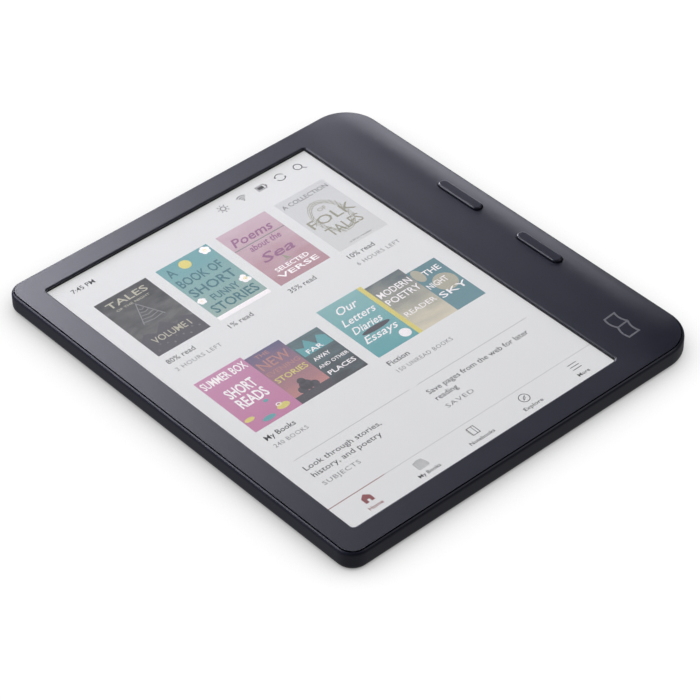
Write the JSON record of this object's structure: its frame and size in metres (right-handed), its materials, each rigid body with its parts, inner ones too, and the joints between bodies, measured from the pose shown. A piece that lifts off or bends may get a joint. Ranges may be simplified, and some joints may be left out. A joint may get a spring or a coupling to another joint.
{
  "type": "e-reader",
  "caption": "Slim e-paper reader with a one-sided grip, a recessed display, sprung page buttons on the grip, a round power button on the back and a side charging socket.",
  "frame": {"origin": "centre of the outline, on the plane of the back", "axes": "+X towards the grip (right of the page), +Y to the top of the page, +Z out of the screen"},
  "size_m": [0.1446, 0.161, 0.0091],
  "materials": {
    "housing": "fine matte, dark blue grey",
    "back_shell": "matte with a fine moulded grain",
    "button": "satin, dark blue grey",
    "rubber": "silicone, matte",
    "adhesive": "thin black tape",
    "clear_film": "clear, faintly matt",
    "e_paper": "matt paper white",
    "mask": "printed matt black",
    "thin_glass": "thin glass with circuit tracks",
    "magnesium": "chromated, satin",
    "tin_plate": "tinned, satin",
    "steel": "plated",
    "screw_steel": "black zinc",
    "contact_gold": "gold plated",
    "circuit_board": "green solder mask over copper",
    "chip_black": "moulded epoxy",
    "ceramic_part": "sintered, tinned ends",
    "connector_plastic": "moulded",
    "socket_black": "moulded",
    "polyimide": "amber film",
    "flex_black": "black film",
    "led_white": "phosphor under clear resin",
    "graphite": "pressed sheet",
    "cell_pouch": "laminated foil pouch",
    "magnet": "nickel plated",
    "lens": "clear, frosted"
  },
  "bodies": {
    "housing": {"battery_board": "circuit_board", "battery_cell": "cell_pouch", "battery_connector": "connector_plastic", "battery_lead": "flex_black", "battery_tape": "adhesive", "bezel_tape": "adhesive", "board_passives": "ceramic_part", "board_screws": "screw_steel", "bracket_screws": "screw_steel", "cover_magnets": "magnet", "display_backplane": "thin_glass", "display_connector": "connector_plastic", "display_flex": "polyimide", "display_mask": "mask", "display_tape": "adhesive", "front_bezel": "housing", "front_light_leds": "led_white", "front_light_strip": "flex_black", "hall_sensor": "chip_black", "heat_sheet": "graphite", "ink_film": "e_paper", "light_guide": "clear_film", "main_board": "circuit_board", "memory_chip": "chip_black", "midframe": "magnesium", "midframe_screws": "screw_steel", "page_back_dome": "steel", "page_back_seal": "rubber", "page_back_switch": "socket_black", "page_button_board": "circuit_board", "page_button_bracket": "steel", "page_forward_dome": "steel", "page_forward_seal": "rubber", "page_forward_switch": "socket_black", "perimeter_seal": "rubber", "power_button_seal": "rubber", "power_chip": "chip_black", "power_dome": "steel", "power_switch": "socket_black", "processor_chip": "chip_black", "processor_shield": "tin_plate", "rear_cover": "back_shell", "storage_chip": "chip_black", "touch_connector": "connector_plastic", "touch_flex": "polyimide", "touch_panel": "clear_film", "usb_contacts": "contact_gold", "usb_insulator": "socket_black", "usb_seal": "rubber", "usb_shell": "steel", "wifi_antenna": "flex_black", "wifi_module": "tin_plate"},
    "page_back": {"page_back_button": "button", "page_back_plunger": "socket_black"},
    "page_forward": {"page_forward_button": "button", "page_forward_plunger": "socket_black"},
    "power_key": {"power_button": "button", "power_plunger": "socket_black", "status_light_lens": "lens"}
  },
  "joints": [
    {"name": "page_back_press", "type": "slide", "parent": "housing", "child": "page_back", "axis": [0, 0, -1], "range_m": [0, 0.0004], "stiffness_N_per_m": 3000, "deforming": ["page_back_dome"]},
    {"name": "page_forward_press", "type": "slide", "parent": "housing", "child": "page_forward", "axis": [0, 0, -1], "range_m": [0, 0.0004], "stiffness_N_per_m": 3000, "deforming": ["page_forward_dome"]},
    {"name": "power_press", "type": "slide", "parent": "housing", "child": "power_key", "axis": [0, 0, 1], "range_m": [0, 0.0004], "stiffness_N_per_m": 3000, "deforming": ["power_dome"]}
  ]
}
